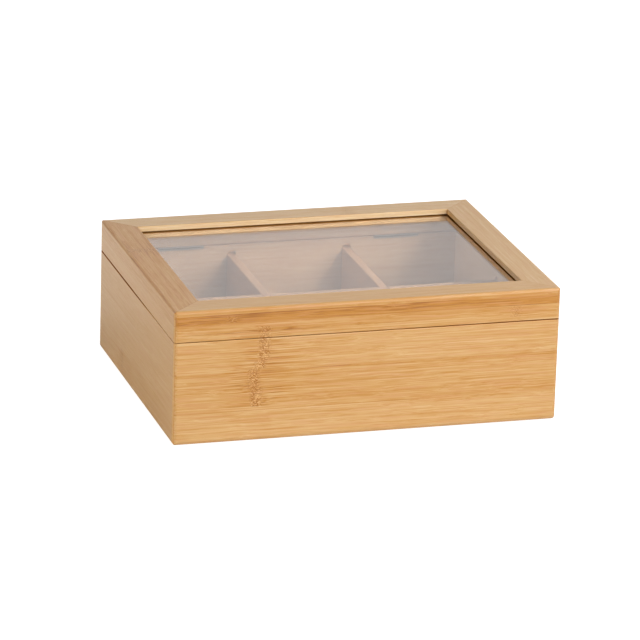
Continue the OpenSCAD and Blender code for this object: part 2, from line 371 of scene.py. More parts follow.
def strips(tree, up, strip_mm, joint_mm, seed):
    """The strip's number, its random tone, and 1 on the glue lines between strips."""
    turns = add_node(tree, "Math", {0: up, 1: joint_mm}, operation="SUBTRACT")
    turns = add_node(tree, "Math", {0: turns, 1: strip_mm}, operation="DIVIDE")
    number = add_node(tree, "Math", {0: turns}, operation="FLOOR")
    number = add_node(tree, "Math", {0: number, 1: seed}, operation="ADD")
    strip = add_node(tree, "TexWhiteNoise", {"W": number}, noise_dimensions="1D")
    to_joint = add_node(tree, "Math", {0: turns, 1: 0.5}, operation="PINGPONG")
    to_joint = add_node(tree, "Math", {0: to_joint, 1: strip_mm}, operation="MULTIPLY")
    joint = add_node(tree, "MapRange", {
        "Value": to_joint, "From Min": GLUE_LINE_MM, "From Max": GLUE_CORE * GLUE_LINE_MM},
        interpolation_type="SMOOTHSTEP")
    return number, strip, joint


# %% [markdown]
# ### Fibres and streaks
# Noise that is long along the grain and short across it gives the fibres, and wider copies
# of it give lines, streaks, a patchy red cast and broad blotches. The noise takes the
# strip's number as its fourth dimension, so each strip has its own. A slow wave bends the
# fibres a little, and inside a ring a fine swirl twists them. Real fibres are thinner than
# half a millimetre, too fine to show from here, so they are drawn a little wider.

# %% Noise along the grain
FIBRE_MM = (220, 0.6)  # length and width
LINE_MM = (400, 1.6)
STREAK_MM = (500, 5.5)
BLUSH_MM = (120, 4)
BLOTCH_MM = (60, 17)
WAVE_MM = 1.2
WAVE_SIZE_MM = (160, 30, 30)
SWIRL_SIZE_MM = (5, 3, 3)


def grain_layers(tree, board, number, seed, stippled):
    """Fibres, lines, streaks, red cast and blotches, in that order."""
    wave = add_node(tree, "Mapping", {"Vector": board, "Scale": [1 / s for s in WAVE_SIZE_MM]})
    wave = add_node(tree, "TexNoise", {"Vector": wave, "W": number, "Detail": 1},
                    noise_dimensions="4D")
    twist = add_node(tree, "Mapping", {"Vector": board, "Scale": [1 / s for s in SWIRL_SIZE_MM]})
    twist = add_node(tree, "TexNoise", {"Vector": twist, "W": seed}, noise_dimensions="4D")
    sway = add_node(tree, "MapRange", {"Value": wave, "To Min": -WAVE_MM, "To Max": WAVE_MM})
    swirl = add_node(tree, "MapRange", {"Value": twist, "To Min": -WAVE_MM, "To Max": WAVE_MM})
    swirl = add_node(tree, "Math", {0: swirl, 1: stippled}, operation="MULTIPLY")
    sway = add_node(tree, "Math", {0: sway, 1: swirl}, operation="ADD")
    sway = add_node(tree, "CombineXYZ", {"Y": sway, "Z": sway})
    swayed = add_node(tree, "VectorMath", {0: board, 1: sway}, operation="ADD")
    layers = []
    for length_mm, width_mm in (FIBRE_MM, LINE_MM, STREAK_MM, BLUSH_MM, BLOTCH_MM):
        squeezed = add_node(tree, "Mapping", {
            "Vector": swayed, "Scale": (1 / length_mm, 1 / width_mm, 1 / width_mm)})
        layers.append(add_node(tree, "TexNoise", {
            "Vector": squeezed, "W": number, "Detail": 1, "Roughness": 0.5},
            noise_dimensions="4D"))
    return layers


print("fibres", FIBRE_MM[1], "mm wide, streaks", STREAK_MM[1], "mm")

# %% [markdown]
# ### One tone
# Each part of the graph is centred, weighed and added, and the sum is the wood's tone: 0 is the
# darkest brown and 1 the palest straw. A board can also have bands between two heights: strips of
# another cane, or painted light and shade on a face or an edge. The joints between strips are
# broken lines, dark only where the streaks are dark.

# %% Adding up the tone
MIDDLE_TONE = 0.56
STRIP_SHARE, GRAIN_SHARE, BLOTCH_SHARE, FRINGE_SHARE = 0.16, 0.6, 0.15, 0.9
SHADED_TONE, MITRE_TONE, GROOVE_SHADE_TONE, JOINT_TONE = -0.09, -0.22, -0.5, -0.3
JOINT_BREAK = (0.55, 0.4)
BAND_LOW_SOFT_MM, BAND_HIGH_SOFT_MM = 0.2, 0.25


def add_up(tree, shade, parts):
    """A tone with (node, middle, share) parts added to it. A part of 0 isn't there."""
    for part, middle, share in parts:
        if part == 0:
            continue
        centred = add_node(tree, "Math", {0: part, 1: middle}, operation="SUBTRACT")
        shade = add_node(tree, "Math", {0: centred, 1: share, 2: shade}, operation="MULTIPLY_ADD")
    return shade


def add_bands(tree, shade, up, bands):
    """A tone that is darker or paler in bands between two heights."""
    for low_mm, high_mm, band_tone in bands:
        above_low = add_node(tree, "MapRange", {
            "Value": up, "From Min": low_mm - BAND_LOW_SOFT_MM,
            "From Max": low_mm + BAND_LOW_SOFT_MM})
        below_high = add_node(tree, "MapRange", {
            "Value": up, "From Min": high_mm + BAND_HIGH_SOFT_MM,
            "From Max": high_mm - BAND_HIGH_SOFT_MM})
        here = add_node(tree, "Math", {0: above_low, 1: below_high}, operation="MULTIPLY")
        shade = add_node(tree, "Math", {0: here, 1: band_tone, 2: shade}, operation="MULTIPLY_ADD")
    return shade


print("the tone starts at", MIDDLE_TONE, "of the ramp")

# %% [markdown]
# ### From tone to colour
# The ramp goes from the burnt brown of a dark fibre to the pale straw of the flesh. A faint
# red cast lies over some streaks, and the bare inside is mixed with grey. The stipple comes
# last: short flecks in the rings that lean both ways, like the crossed fibres there. Dark
# flecks lie where either of two slanted noises is low, and pale ones where either is high.

# %% Colours of the wood
BAMBOO_TONES = [
    (0.00, "#874A0C"),
    (0.28, "#B87A22"),
    (0.52, "#C79655"),
    (0.76, "#D3AB74"),
    (1.00, "#E2C69C"),
]
BLUSH, BLUSH_RANGE, BLUSH_SHARE = "#CB8F62", (0.48, 0.66), 0.32
BARE_GREY, BARE_SHARE = "#919494", 0.32
FLECK_MM = (5, 1.3)
FLECK_SLANT = math.radians(28)
FLECKS = [  # which of the two noises, where flecks start and are full, share, colour
    ("MINIMUM", 0.47, 0.38, 0.9, "#9A5A04"),
    ("MAXIMUM", 0.6, 0.68, 0.35, "#F2C586"),
]


def wood_colour(tree, shade, redder, inside):
    """The colour of a tone, with the red cast and the grey of bare wood."""
    ramp = add_node(tree, "ValToRGB", {"Fac": shade})
    stops = ramp.color_ramp.elements
    for i, (position, colour) in enumerate(BAMBOO_TONES):
        stop = stops[i] if i < 2 else stops.new(position)
        stop.position = position
        stop.color = linear(colour)
    blush = add_node(tree, "MapRange", {
        "Value": redder, "From Min": BLUSH_RANGE[0], "From Max": BLUSH_RANGE[1],
        "To Max": BLUSH_SHARE})
    colour = add_node(tree, "Mix", {"Factor": blush, 6: ramp, 7: linear(BLUSH)},
                      data_type="RGBA").outputs[2]
    bare = add_node(tree, "Math", {0: inside, 1: BARE_SHARE}, operation="MULTIPLY")
    return add_node(tree, "Mix", {"Factor": bare, 6: colour, 7: linear(BARE_GREY)},
                    data_type="RGBA").outputs[2]


def add_flecks(tree, colour, board, seed, stippled):
    """A colour with dark and pale flecks where the rings are stippled."""
    leaning = []
    for slant in (FLECK_SLANT, -FLECK_SLANT):
        grit = add_node(tree, "Mapping", {
            "Vector": board, "Rotation": (0, slant, 0),
            "Scale": (FLECK_MM[0], FLECK_MM[1], FLECK_MM[1])}, vector_type="TEXTURE")
        leaning.append(add_node(tree, "TexNoise", {
            "Vector": grit, "W": seed + slant, "Detail": 0}, noise_dimensions="4D"))
    for pick_one, start, full, share, paint in FLECKS:
        fleck = add_node(tree, "Math", {0: leaning[0], 1: leaning[1]}, operation=pick_one)
        fleck = add_node(tree, "MapRange", {
            "Value": fleck, "From Min": start, "From Max": full, "To Max": share})
        fleck = add_node(tree, "Math", {0: fleck, 1: stippled}, operation="MULTIPLY")
        colour = add_node(tree, "Mix", {"Factor": fleck, 6: colour, 7: linear(paint)},
                          data_type="RGBA").outputs[2]
    return colour


print(len(BAMBOO_TONES), "tones, flecks", FLECK_MM, "mm")

# %% [markdown]
# ### One function for every bamboo board
# A board says which way its grain runs, how wide its strips are and where the first joint
# lies, how dark it is, and where its rings are. The rest is shared, so the boards look as if
# they came from one batch of canes but no two are alike. The lacquer is satin, a little
# smoother on the pale flesh than on the fibres, which lie lower. The wood is rougher where
# it is bare, sawn or raw.

# %% The bamboo material
LACQUER_ROUGHNESS = (0.38, 0.28)
LACQUER_IOR = 1.5
SAWN_ROUGHER, INSIDE_ROUGHER, GROOVE_ROUGHER = 0.5, 0.2, 0.5
RELIEF_STRENGTH, RELIEF_MM = 0.35, 0.12
# painted shade of the gap along the saw cut, at full strength all along it
EVEN_CUT_SHADE = (-0.5, -200, -190, 0)  # of full strength all along the cut, and nowhere wider


def bamboo(name, grain, strip_mm, joint_mm, tone=0.0, contrast=1.0, rings=(), bands=(),
           cut_shading=EVEN_CUT_SHADE):
    """Bamboo with its grain along X or Y.

    Lengths are in mm. A ring is (place along the grain, low, high, strength), a band is (low, high,
    tone), and the saw cut's argument is (tone of the shade painted on the cut's edges, where along
    the grain that shade starts, where it is full, how much wider it grows).
    """
    material, tree = new_material(name)
    seed = sum(name.encode()) % 97
    place = add_node(tree, "TexCoord")
    turned = -90 if grain == "Y" else 0
    board = add_node(tree, "Mapping", {
        "Vector": place.outputs["Object"],
        "Rotation": (0, 0, math.radians(turned)), "Scale": (1 / MM,) * 3})
    apart = add_node(tree, "SeparateXYZ", {"Vector": board})
    along, _, up = apart.outputs
    flat = add_node(tree, "VectorMath", {0: place.outputs["Object"]}, operation="ABSOLUTE")
    flat = add_node(tree, "SeparateXYZ", {"Vector": flat})

    mitre = mitre_lines(tree, flat)
    cut_shade, *cut_shade_stretch = cut_shading
    sawn = painted_cut_shade(tree, along, up, flat, *cut_shade_stretch)
    inside, groove = bare_places(tree, up, flat)
    stippled, shaded = ring_windows(tree, along, up, rings)
    number, strip, joint = strips(tree, up, strip_mm, joint_mm, seed)
    fibre, line, streak, redder, blotch = grain_layers(tree, board, number, seed, stippled)
    fringe = add_node(tree, "Math", {0: line, 1: 0.5}, operation="SUBTRACT")
    fringe = add_node(tree, "Math", {0: fringe, 1: shaded}, operation="MULTIPLY")

    shade = add_up(tree, MIDDLE_TONE + tone, [
        (strip, 0.5, STRIP_SHARE * contrast),
        (streak, 0.5, GRAIN_SHARE * contrast),
        (line, 0.5, GRAIN_SHARE * contrast),
        (fibre, 0.5, GRAIN_SHARE * contrast),
        (blotch, 0.5, BLOTCH_SHARE),
        (fringe, 0.0, FRINGE_SHARE),
        (shaded, 0.0, SHADED_TONE),
        (mitre, 0.0, MITRE_TONE),
        # painted shade of the gap on the saw cut's edges
        (sawn, 0.0, cut_shade),
        # painted shade in the pane's groove
        (groove, 0.0, GROOVE_SHADE_TONE),
    ])
    shade = add_bands(tree, shade, up, bands)
    broken = add_node(tree, "MapRange", {
        "Value": streak, "From Min": JOINT_BREAK[0], "From Max": JOINT_BREAK[1],
        "To Max": JOINT_TONE * contrast})
    shade = add_node(tree, "Math", {0: joint, 1: broken, 2: shade}, operation="MULTIPLY_ADD")
    colour = wood_colour(tree, shade, redder, inside)
    colour = add_flecks(tree, colour, board, seed, stippled)

    relief = add_node(tree, "Bump", {
        "Height": fibre, "Strength": RELIEF_STRENGTH, "Distance": RELIEF_MM * MM})
    rough = add_node(tree, "MapRange", {
        "Value": fibre, "To Min": LACQUER_ROUGHNESS[0], "To Max": LACQUER_ROUGHNESS[1]})
    for part, rougher in ((sawn, SAWN_ROUGHER), (inside, INSIDE_ROUGHER), (groove, GROOVE_ROUGHER)):
        rough = add_node(tree, "Math", {0: part, 1: rougher, 2: rough}, operation="MULTIPLY_ADD")
    surface = add_node(tree, "BsdfPrincipled", {
        "Base Color": colour, "Roughness": rough, "IOR": LACQUER_IOR, "Normal": relief})
    add_node(tree, "OutputMaterial", {"Surface": surface})
    return material


print("lacquer roughness", LACQUER_ROUGHNESS)

# %% [markdown]
# ### The boards
# The walls are cut from wide strips, the rails from narrow ones. Each wall and the skirt above it
# were one board until the box was sawn open, so they share a material. The front has its cane's
# rings in its left half, a little apart in each strip, and the front rail has one strip of a darker
# cane. The rails' tones and some of their bands are partly painted light and shade: the front
# rail's top is painted paler where light falls from above, the back and right rails are painted
# paler where the lamps light them, and the left rail's outer top edge and top are painted darker as
# shade. The dividers and the bottom panel are plainer stock, and the dividers are also painted
# darker as shade of the contents that stood among them.

# %% Boards
WALL_STRIP, RAIL_STRIP, PANEL_STRIP = 22.7, 5.2, 20
RAIL_JOINT = 68.6
BOARDS = {
    "front_board_bamboo": dict(
        grain="X", strip_mm=WALL_STRIP, joint_mm=17.9,
        rings=[(-59.3, 46.5, 66, 1), (-61.5, 42, 46.5, 1), (-65, 31, 42, 1), (-63.6, 20, 31, 1),
               (84, 62, 68, 0.45)],
        # the saw cut's value paints shade of the gap on the cut's edges, fading in along the grain
        bands=[(-1, 17.6, -0.03), (39.3, 41.3, -0.07), (59.2, 80, -0.03)], cut_shading=(-0.5, -40, 80, 0)),
    "back_board_bamboo": dict(
        grain="X", strip_mm=WALL_STRIP, joint_mm=12.5, rings=[(38, 12.5, 35, 1)]),
    "left_board_bamboo": dict(
        grain="Y", strip_mm=WALL_STRIP, joint_mm=17, tone=0.03, contrast=0.5,
        # the saw cut's value paints shade of the gap on the cut's edges, fading in and widening
        # along the grain
        rings=[(30, 3, 17, 0.4)], bands=[(59.2, 80, -0.05)], cut_shading=(-0.9, -50, 10, 0.25)),
    "right_board_bamboo": dict(
        grain="Y", strip_mm=WALL_STRIP, joint_mm=14.0, contrast=0.8, rings=[(-25, 36.7, 59.4, 1)]),
    "front_rail_bamboo": dict(
        grain="X", strip_mm=RAIL_STRIP, joint_mm=RAIL_JOINT, contrast=0.7,
        rings=[(-78, 69, 73, 0.5), (13, 72, 77, 0.2)],
        # the band from 76.8 mm up is painted light: a paler top where light falls from above
        bands=[(60, 73.8, -0.31), (73.8, 76.6, -0.09), (76.8, 80, 0.1)]),
    "back_rail_bamboo": dict(
        grain="X", strip_mm=RAIL_STRIP, joint_mm=RAIL_JOINT, tone=0.22, contrast=0.7,
        # the tone and the band below 76.4 mm are partly painted light, for a top and sides that the
        # lamps light more
        rings=[(35, 76.4, 78, 0.3)], bands=[(60, 76.4, 0.12)]),
    "left_rail_bamboo": dict(
        grain="Y", strip_mm=RAIL_STRIP, joint_mm=RAIL_JOINT, tone=-0.07, contrast=0.9,
        # the thin band is painted shade on the rounded outer top edge; the top band is partly the
        # rail's browner wood and partly painted shade
        rings=[(25, 76.8, 78, 0.8)], bands=[(76.1, 76.75, -0.28), (76.85, 80, -0.12)]),
    "right_rail_bamboo": dict(
        # the paler tone is partly painted light on the top
        grain="Y", strip_mm=RAIL_STRIP, joint_mm=RAIL_JOINT, tone=0.12, contrast=0.7),
    "long_divider_bamboo": dict(
        # the dark tone is partly painted shade, for the contents that stood among the dividers and
        # shaded their tops
        grain="X", strip_mm=PANEL_STRIP, joint_mm=14, tone=-0.28, contrast=0.6),
    "cross_divider_bamboo": dict(
        grain="Y", strip_mm=PANEL_STRIP, joint_mm=10, tone=-0.28, contrast=0.6),
    "bottom_panel_bamboo": dict(
        grain="X", strip_mm=PANEL_STRIP, joint_mm=-5, tone=0.05, contrast=0.6),
}
boards = {name: bamboo(name, **look) for name, look in BOARDS.items()}
print(len(boards), "boards:", ", ".join(boards))

# %% Boards for the pieces
WOOD = {
    "front_wall": "front_board_bamboo",
    "lid_front_skirt": "front_board_bamboo",
    "back_wall": "back_board_bamboo",
    "lid_back_skirt": "back_board_bamboo",
    "left_wall": "left_board_bamboo",
    "lid_left_skirt": "left_board_bamboo",
    "right_wall": "right_board_bamboo",
    "lid_right_skirt": "right_board_bamboo",
    "lid_front_rail": "front_rail_bamboo",
    "lid_back_rail": "back_rail_bamboo",
    "lid_left_rail": "left_rail_bamboo",
    "lid_right_rail": "right_rail_bamboo",
    "long_divider": "long_divider_bamboo",
    "left_cross_divider": "cross_divider_bamboo",
    "right_cross_divider": "cross_divider_bamboo",
    "bottom_panel": "bottom_panel_bamboo",
}
for node, board in WOOD.items():
    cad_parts[node].material_slots[0].material = boards[board]
print(len(WOOD), "pieces of bamboo in", len(boards), "boards")

# %% [markdown]
# ## The pane
# The window is clear cast acrylic with polished faces. It mirrors the white room at a low angle,
# which greys what lies below it, and it lets nearly all of the lamps' light through. Its faint grey
# tint is partly the acrylic's own and partly painted shade, which darkens the inside of the box as
# seen through the pane. Lamps can't shine through bent glass in a path tracer, so for a lamp's
# shadow rays alone the pane is taken as transparent.

# %% Acrylic
# the grey tint is partly the acrylic's own and partly painted shade for the inside of the box
ACRYLIC_GREY_AND_SHADE, SHADOW_TINT = "#E8E6E6", "#F6F5F5"
ACRYLIC_ROUGHNESS, ACRYLIC_IOR = 0.02, 1.49

acrylic, tree = new_material("clear_acrylic")
solid = add_node(tree, "BsdfPrincipled", {
    "Base Color": linear(ACRYLIC_GREY_AND_SHADE), "Roughness": ACRYLIC_ROUGHNESS, "IOR": ACRYLIC_IOR,
    "Transmission Weight": 1.0})
open_air = add_node(tree, "BsdfTransparent", {"Color": linear(SHADOW_TINT)})
path = add_node(tree, "LightPath")
surface = add_node(tree, "MixShader", {0: path.outputs["Is Shadow Ray"], 1: solid, 2: open_air})
add_node(tree, "OutputMaterial", {"Surface": surface})
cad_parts["window_pane"].material_slots[0].material = acrylic
print("pane", [round(x / MM, 1) for x in PANE_HIGH - PANE_LOW], "mm")

# %% [markdown]
# ## Plated steel
# The hinges are pressed steel with a dull, warm grey nickel plating, and the screws are
# zinc plated, which is paler and a little brighter. Both are metals, so their colour is in
# their reflections. Tumbling left their gloss a little uneven, with tiny dents that are
# drawn coarser than real ones, so that they show.

# %% Metal
UNEVEN = 0.12
DENT_STRENGTH, DENT_MM = 0.2, 0.02


def plated_steel(name, colour, roughness, grain_mm):
    """Plated steel whose gloss and surface vary over a grain of this size."""
    material, tree = new_material(name)
    place = add_node(tree, "TexCoord")
    coarse = add_node(tree, "TexNoise", {
        "Vector": place.outputs["Object"], "Scale": 1 / (grain_mm * MM), "Detail": 3})
    rough = add_node(tree, "MapRange", {
        "Value": coarse, "To Min": roughness - UNEVEN, "To Max": roughness + UNEVEN})
    relief = add_node(tree, "Bump", {
        "Height": coarse, "Strength": DENT_STRENGTH, "Distance": DENT_MM * MM})
    surface = add_node(tree, "BsdfPrincipled", {
        "Base Color": linear(colour), "Metallic": 1.0, "Roughness": rough, "Normal": relief})
    add_node(tree, "OutputMaterial", {"Surface": surface})
    return material


leaf_steel = plated_steel("nickel_plated_steel", "#A39E93", 0.4, 0.5)
screw_steel = plated_steel("zinc_plated_steel", "#B8BABC", 0.3, 0.4)
for node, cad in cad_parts.items():
    if "leaf" in node:
        cad.material_slots[0].material = leaf_steel
    if "pin" in node or "screws" in node:
        cad.material_slots[0].material = screw_steel
print("metals:", leaf_steel.name, "and", screw_steel.name)

# %% [markdown]
# ## The hinges
# Two small butt hinges of pressed steel join the lid to the box. Each leaf is one strip of
# sheet: it lies flat on the wood, steps sideways by its own thickness, and curls round the
# pin as a knuckle. The curl stops just short of closing, which leaves the fine seam that
# every rolled hinge has. Extrusions make the step and `spin` makes the curl, the same two
# bends that the press makes.
#
# Each leaf is modelled once, with the pin along X through the origin, and then copied to
# both hinges. The pin's place comes from the frame, so the copies sit where the parts are.

# %% Picking parts of a mesh
HINGE_SIDES = ("left", "right")
pin_place = {side: sum(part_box(side + "_hinge_pin"), Vector()) / 2 for side in HINGE_SIDES}


def pick(kind, test):
    """Selects, of the mesh in edit mode, only the faces, edges or verts that pass a test."""
    modes = ("verts", "edges", "faces")
    bpy.context.tool_settings.mesh_select_mode = [kind == mode for mode in modes]
    bpy.ops.mesh.select_all(action="DESELECT")
    grid = bmesh.from_edit_mesh(bpy.context.object.data)
    for part in getattr(grid, kind):
        if test(part):
            part.select_set(True)
    grid.select_flush_mode()
    bmesh.update_edit_mesh(bpy.context.object.data)


def middle(part):
    """The middle of a face or an edge, in mm."""
    return sum((corner.co for corner in part.verts), Vector()) / len(part.verts) / MM


print("pins at", {side: [round(x / MM, 2) for x in place] for side, place in pin_place.items()})

# %% [markdown]
# ### Modifiers and copies
# Three small steps come back for each metal piece: a modifier that is applied at once, a
# tool mesh that is cut away or joined on, and a copy that gets its own mesh at its place.

# %% Helpers for modifiers
BEVEL_FROM = math.radians(40)
SMOOTH_UP_TO = math.radians(35)
WELD_MM = 0.002


def apply_modifier(piece, kind, **settings):
    """Adds a modifier to a piece, sets it and applies it."""
    bpy.ops.object.select_all(action="DESELECT")
    piece.select_set(True)
    bpy.context.view_layer.objects.active = piece
    step = piece.modifiers.new(kind.lower(), kind)
    for name, value in settings.items():
        setattr(step, name, value)
    bpy.ops.object.modifier_apply(modifier=step.name)


def combine(piece, tool, operation):
    """Cuts a tool out of a piece, or joins it on, and throws the tool away."""
    apply_modifier(piece, "BOOLEAN", object=tool, operation=operation, solver="EXACT")
    bpy.data.objects.remove(tool)


def soften(piece, width_mm):
    """Breaks the sharp edges and shades the rest smooth."""
    apply_modifier(piece, "BEVEL", width=width_mm * MM, segments=2,
                   limit_method="ANGLE", angle_limit=BEVEL_FROM)
    bpy.ops.object.shade_smooth_by_angle(angle=SMOOTH_UP_TO)


# %% Helper for copies
def place_copy(master, name, place, body, node, material, turn=None):
    """A copy of a master piece with its own mesh, put where its CAD node is."""
    piece = bpy.data.objects.new(name, master.data.copy())
    bpy.context.scene.collection.objects.link(piece)
    if turn is not None:
        piece.data.transform(turn)
    piece.data.transform(Matrix.Translation(place))
    piece.data.materials.clear()
    piece.data.materials.append(material)
    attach(piece, body)
    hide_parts(node)
    return piece


# %% Leaf sizes
# All in mm, apart from ROLL_TURN, which is in degrees, and the shares and steps
LEAF_L, LEAF_MM, LEAF_DEEP, LEAF_CLEAR = 27, 0.9, 11.5, 0.2
LEAF_CORNER_MM, LEAF_EDGE_MM = 0.6, 0.1
PIN_MM, ROLL_IN, ROLL_OUT = 1.8, 0.95, 1.8
PLATE_END = 1.95
STEP_SHARES = (0.2, 0.55, 0.25)
ROLL_TURN, ROLL_STEPS = 275, 22
BODY_KNUCKLES = [(-13.5, -4.575), (4.575, 13.5)]
LID_KNUCKLES = [(-4.425, 4.425)]
SCREW_X, SCREW_Y = 8.5, -7
HEAD_MM, SHANK_MM, SINK_MM = 3.8, 2, 0.9
NEAR_MM = 0.1
print("sheet", LEAF_MM, "mm, roll", ROLL_OUT - ROLL_IN, "mm round a pin of", PIN_MM, "mm")


# %% One leaf
def leaf(name, up, knuckles):
    """A leaf above (up is 1) or below (-1) the pin's middle, with knuckles at stretches of X."""
    bpy.ops.object.select_all(action="DESELECT")
    bpy.ops.mesh.primitive_cube_add(
        size=1,
        location=(0, -(LEAF_DEEP + PLATE_END) / 2 * MM, up * (LEAF_CLEAR + LEAF_MM / 2) * MM),
        scale=(LEAF_L * MM, (LEAF_DEEP - PLATE_END) * MM, LEAF_MM * MM))
    piece = bpy.context.object
    piece.name = name
    bpy.ops.object.transform_apply(location=True, rotation=True, scale=True)
    bpy.ops.object.mode_set(mode="EDIT")
    pick("edges", lambda e: middle(e).y < -LEAF_DEEP + NEAR_MM
         and abs(middle(e).x) > LEAF_L / 2 - NEAR_MM)
    bpy.ops.mesh.bevel(offset=LEAF_CORNER_MM * MM, segments=4)
    for end in sum(knuckles, ()):
        if abs(end) < LEAF_L / 2:
            bpy.ops.mesh.select_all(action="SELECT")
            bpy.ops.mesh.bisect(plane_co=(end * MM, 0, 0), plane_no=(1, 0, 0))
    pick("faces", lambda f: f.normal.y > 0.9 and middle(f).y > -PLATE_END - NEAR_MM
         and any(low < middle(f).x < high for low, high in knuckles))
    step = (ROLL_OUT + ROLL_IN - LEAF_MM) / 2 - LEAF_CLEAR
    for share in STEP_SHARES:
        bpy.ops.mesh.extrude_region_move(TRANSFORM_OT_translate={
            "value": (0, PLATE_END / 3 * MM, up * share * step * MM)})
    bpy.ops.transform.resize(value=(1, 1, (ROLL_OUT - ROLL_IN) / LEAF_MM))
    bpy.ops.mesh.spin(steps=ROLL_STEPS, angle=math.radians(up * ROLL_TURN), center=(0, 0, 0),
                      axis=(1, 0, 0))
    bpy.ops.object.mode_set(mode="OBJECT")
    return piece


lid_leaf = leaf("lid_leaf", 1, LID_KNUCKLES)
body_leaf = leaf("body_leaf", -1, BODY_KNUCKLES)
soften(lid_leaf, LEAF_EDGE_MM)
soften(body_leaf, LEAF_EDGE_MM)
print("faces:", len(lid_leaf.data.polygons), "and", len(body_leaf.data.polygons))

# %% [markdown]
# ### The stop
# The outer knuckles carry a lip that stands up behind them. When the lid is open to 100
# degrees its leaf leans on this lip, so the lid can't fall further back. The lip is a strip
# along the knuckle, turned to the angle that the open leaf has, and joined on.

# %% Stop lips
LIP_LOW, LIP_HIGH, LIP_LONG = 1.15, 1.7, 2.35
LIP_ROUND_MM = 0.15
STOP_DEGREES = -100

for low, high in BODY_KNUCKLES:
    lean = Matrix.Rotation(math.radians(STOP_DEGREES), 4, "X")
    spot = lean @ Vector(((low + high) / 2, -LIP_LONG / 2, (LIP_LOW + LIP_HIGH) / 2))
    bpy.ops.object.select_all(action="DESELECT")
    bpy.ops.mesh.primitive_cube_add(
        size=1, location=spot * MM, rotation=(math.radians(STOP_DEGREES), 0, 0),
        scale=((high - low) * MM, LIP_LONG * MM, (LIP_HIGH - LIP_LOW) * MM))
    lip = bpy.context.object
    bpy.ops.object.transform_apply(location=True, rotation=True, scale=True)
    bpy.ops.object.mode_set(mode="EDIT")
    pick("edges", lambda e: middle(e).z > 1.5 and abs(e.verts[0].co.x - e.verts[1].co.x) > MM)
    bpy.ops.mesh.bevel(offset=LIP_ROUND_MM * MM, segments=3)
    bpy.ops.object.mode_set(mode="OBJECT")
    combine(body_leaf, lip, "UNION")
print("body leaf with its lips:", len(body_leaf.data.polygons), "faces")

# %% [markdown]
# ### Countersunk holes
# The screws' heads lie flush in the leaves, so each hole is a cone at the surface and a
# round hole below. The tool is one cone whose ends are drawn out, and it is cut away from
# both leaves with the wide end towards the screw's head.

# %% Screw holes
HOLE_PLAY = 0.05
HOLE_DRAWN_OUT = 0.4

for piece, up in ((lid_leaf, 1), (body_leaf, -1)):
    for x in (-SCREW_X, SCREW_X):
        bpy.ops.object.select_all(action="DESELECT")
        bpy.ops.mesh.primitive_cone_add(
            vertices=40, radius1=(HEAD_MM / 2 + HOLE_PLAY) * MM,
            radius2=(SHANK_MM / 2 + HOLE_PLAY) * MM, depth=SINK_MM * MM,
            location=(x * MM, SCREW_Y * MM, up * (LEAF_CLEAR + SINK_MM / 2) * MM),
            rotation=(0 if up > 0 else math.pi, 0, 0))
        tool = bpy.context.object
        bpy.ops.object.transform_apply(location=True, rotation=True, scale=True)
        bpy.ops.object.mode_set(mode="EDIT")
        for end in (-1, 1):
            pick("faces", lambda f: f.normal.z * end > 0.9)
            bpy.ops.mesh.extrude_region_move(TRANSFORM_OT_translate={
                "value": (0, 0, end * HOLE_DRAWN_OUT * MM)})
        bpy.ops.object.mode_set(mode="OBJECT")
        combine(piece, tool, "DIFFERENCE")
    apply_modifier(piece, "WELD", merge_threshold=WELD_MM * MM)
    bpy.ops.object.shade_smooth_by_angle(angle=SMOOTH_UP_TO)
    print(piece.name, len(piece.data.polygons), "faces")

# %% [markdown]
# ## Pins
# A pin is a piece of hard wire that is struck at both ends, so that a flat dome spreads over
# the outer knuckles and keeps it from sliding out. The cylinder's ends are drawn out and
# widened for the two heads, and the rim is rounded.

# %% Hinge pin
PIN_HEAD_R, PIN_HEAD_MM = 1.35, 0.4
DOME = ((0.4, 1), (0.25, 0.93), (0.2, 0.8), (0.15, 0.5))  # share of its height, then of its width

bpy.ops.object.select_all(action="DESELECT")
bpy.ops.mesh.primitive_cylinder_add(
    vertices=40, radius=PIN_MM / 2 * MM, depth=LEAF_L * MM, rotation=(0, math.pi / 2, 0))
pin = bpy.context.object
bpy.ops.object.transform_apply(location=True, rotation=True, scale=True)
bpy.ops.object.mode_set(mode="EDIT")
for end in (-1, 1):
    pick("faces", lambda f: f.normal.x * end > 0.9 and middle(f).x * end > 0)
    bpy.ops.mesh.extrude_region_move()
    bpy.ops.transform.resize(value=(1, PIN_HEAD_R / (PIN_MM / 2), PIN_HEAD_R / (PIN_MM / 2)))
    for advance, shrink in DOME:
        bpy.ops.mesh.extrude_region_move(TRANSFORM_OT_translate={
            "value": (end * advance * PIN_HEAD_MM * MM, 0, 0)})
        bpy.ops.transform.resize(value=(1, shrink, shrink))
bpy.ops.object.mode_set(mode="OBJECT")
bpy.ops.object.shade_smooth_by_angle(angle=SMOOTH_UP_TO)
print("pin", [round(x / MM, 2) for x in pin.dimensions], "mm")

# %% [markdown]
# ## Screws
# Small countersunk wood screws: a flat head with a cross recess, a cone under it, a shank,
# and a thread that runs out at the point. The core is drawn out of a cylinder from the head
# down. The thread is a triangle that a Screw modifier winds down the core.

# %% Screw core
SCREW_L, CORE_R, TIP_MM = 8, 0.72, 2
RIM_HIGH = 0.12
SCREW_PROFILE = (  # depth under the head's face, radius
    (SINK_MM, SHANK_MM / 2), (1.9, SHANK_MM / 2), (2.2, CORE_R),
    (SCREW_L - TIP_MM, CORE_R), (SCREW_L - 0.6, 0.38), (SCREW_L, 0.05))

